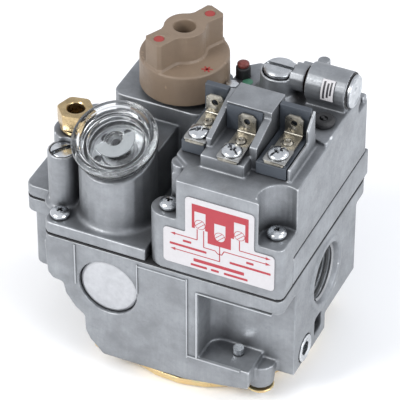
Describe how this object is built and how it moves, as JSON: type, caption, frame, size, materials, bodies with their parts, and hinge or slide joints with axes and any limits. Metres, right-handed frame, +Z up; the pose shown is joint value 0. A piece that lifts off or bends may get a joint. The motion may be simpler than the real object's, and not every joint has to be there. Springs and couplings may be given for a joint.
{
  "type": "combination gas valve",
  "caption": "Half-inch combination gas valve with rotary gas cock, slanted reset button, pressure regulator, screw terminals and pilot tube fitting.",
  "frame": {"origin": "middle of the bottom cover's flat face, which the valve rests on", "axes": "+X from the inlet port to the outlet port, +Y from the labelled front to the back, +Z up from the bottom cover to the gas cock knob"},
  "size_m": [0.102, 0.0742, 0.11],
  "materials": {
    "cast_aluminium": "satin die casting",
    "gasket_black": "matte",
    "bright_aluminium": "bright machined",
    "brass": "machined",
    "yellow_chromate": "yellow chromate plate",
    "grey_plastic": "moulded phenolic",
    "tan_plastic": "moulded, satin",
    "clear_plastic": "clear moulded plastic",
    "black_rubber": "matte",
    "red_brown_seal": "lacquer",
    "white_label": "printed film",
    "coil_winding": "enamelled winding",
    "steel": "plain",
    "nickel_brass": "dull nickel plate",
    "zinc_plate": "bright zinc"
  },
  "bodies": {
    "housing": {"body_gasket": "gasket_black", "bottom_cover": "yellow_chromate", "bottom_screw_1": "zinc_plate", "bottom_screw_2": "zinc_plate", "bottom_screw_3": "zinc_plate", "bottom_screw_4": "zinc_plate", "coil_end_cap": "bright_aluminium", "coil_label": "white_label", "cover_screw_1": "zinc_plate", "cover_screw_2": "zinc_plate", "cover_screw_3": "zinc_plate", "cover_screw_4": "zinc_plate", "deck_screw": "zinc_plate", "front_plug": "bright_aluminium", "head_gasket": "gasket_black", "head_screw_1": "zinc_plate", "head_screw_2": "zinc_plate", "inlet_screen": "steel", "magnet_unit": "steel", "main_body": "cast_aluminium", "main_diaphragm": "black_rubber", "main_spring": "steel", "operator_coil": "coil_winding", "operator_head": "cast_aluminium", "pocket_stud": "zinc_plate", "pressure_tap_plug": "bright_aluminium", "regulator_cap": "bright_aluminium", "regulator_diaphragm": "black_rubber", "regulator_spring": "steel", "reset_spring": "steel", "sealed_post": "red_brown_seal", "terminal_base_left": "grey_plastic", "terminal_base_right": "grey_plastic", "terminal_rivet_1": "nickel_brass", "terminal_rivet_2": "nickel_brass", "terminal_rivet_3": "nickel_brass", "terminal_screw_1": "zinc_plate", "terminal_screw_2": "zinc_plate", "terminal_screw_3": "zinc_plate", "terminal_tab_1": "nickel_brass", "terminal_tab_2": "nickel_brass", "terminal_tab_3": "nickel_brass", "top_cover": "cast_aluminium", "tube_ferrule": "brass", "tube_nut": "brass", "wire_grommet": "black_rubber", "wiring_label": "white_label"},
    "gas_cock": {"gas_cock_knob": "tan_plastic", "cock_stem": "steel", "cock_plug": "brass"},
    "reset": {"reset_button": "clear_plastic", "reset_stem": "steel", "safety_valve": "black_rubber"},
    "main_valve": {"main_valve_disc": "black_rubber", "valve_stem": "steel", "diaphragm_plate": "steel"},
    "regulator_adjuster": {"regulator_screw": "nickel_brass"},
    "regulator_seat": {"spring_seat": "steel"},
    "pilot_adjuster": {"pilot_adjust_screw": "zinc_plate"},
    "plunger": {"operator_plunger": "steel"}
  },
  "joints": [
    {"name": "gas_cock_turn", "type": "hinge", "parent": "housing", "child": "gas_cock", "pos_m": [-0.0183, 0.0165, 0.088], "axis": [0, 0, 1], "range_deg": [0, 110]},
    {"name": "reset_press", "type": "slide", "parent": "housing", "child": "reset", "axis": [0, 0.4067, -0.9135], "range_m": [0, 0.0035], "stiffness_N_per_m": 400, "springref_m": -0.004, "deforming": ["reset_spring"]},
    {"name": "main_valve_lift", "type": "slide", "parent": "housing", "child": "main_valve", "axis": [0, 0, 1], "range_m": [0, 0.003], "stiffness_N_per_m": 150, "springref_m": -0.006, "deforming": ["main_spring"]},
    {"name": "regulator_screw_turn", "type": "hinge", "parent": "housing", "child": "regulator_adjuster", "pos_m": [0.014, 0.0215, 0.093], "axis": [0, 0, 1], "range_deg": [-360, 360]},
    {"name": "regulator_seat_slide", "type": "slide", "parent": "housing", "child": "regulator_seat", "axis": [0, 0, 1], "range_m": [-0.001, 0.001], "deforming": ["regulator_spring"]},
    {"name": "pilot_screw_turn", "type": "hinge", "parent": "housing", "child": "pilot_adjuster", "pos_m": [-0.0444, -0.023, 0.078], "axis": [0, 0, 1], "range_deg": [-360, 360]},
    {"name": "plunger_slide", "type": "slide", "parent": "housing", "child": "plunger", "axis": [1, 0, 0], "range_m": [0, 0.0015], "stiffness_N_per_m": 60, "springref_m": -0.002}
  ],
  "couplings": [
    {"joint": "regulator_screw_turn", "follows": "regulator_seat_slide", "rad_per_m": 6283.2}
  ]
}
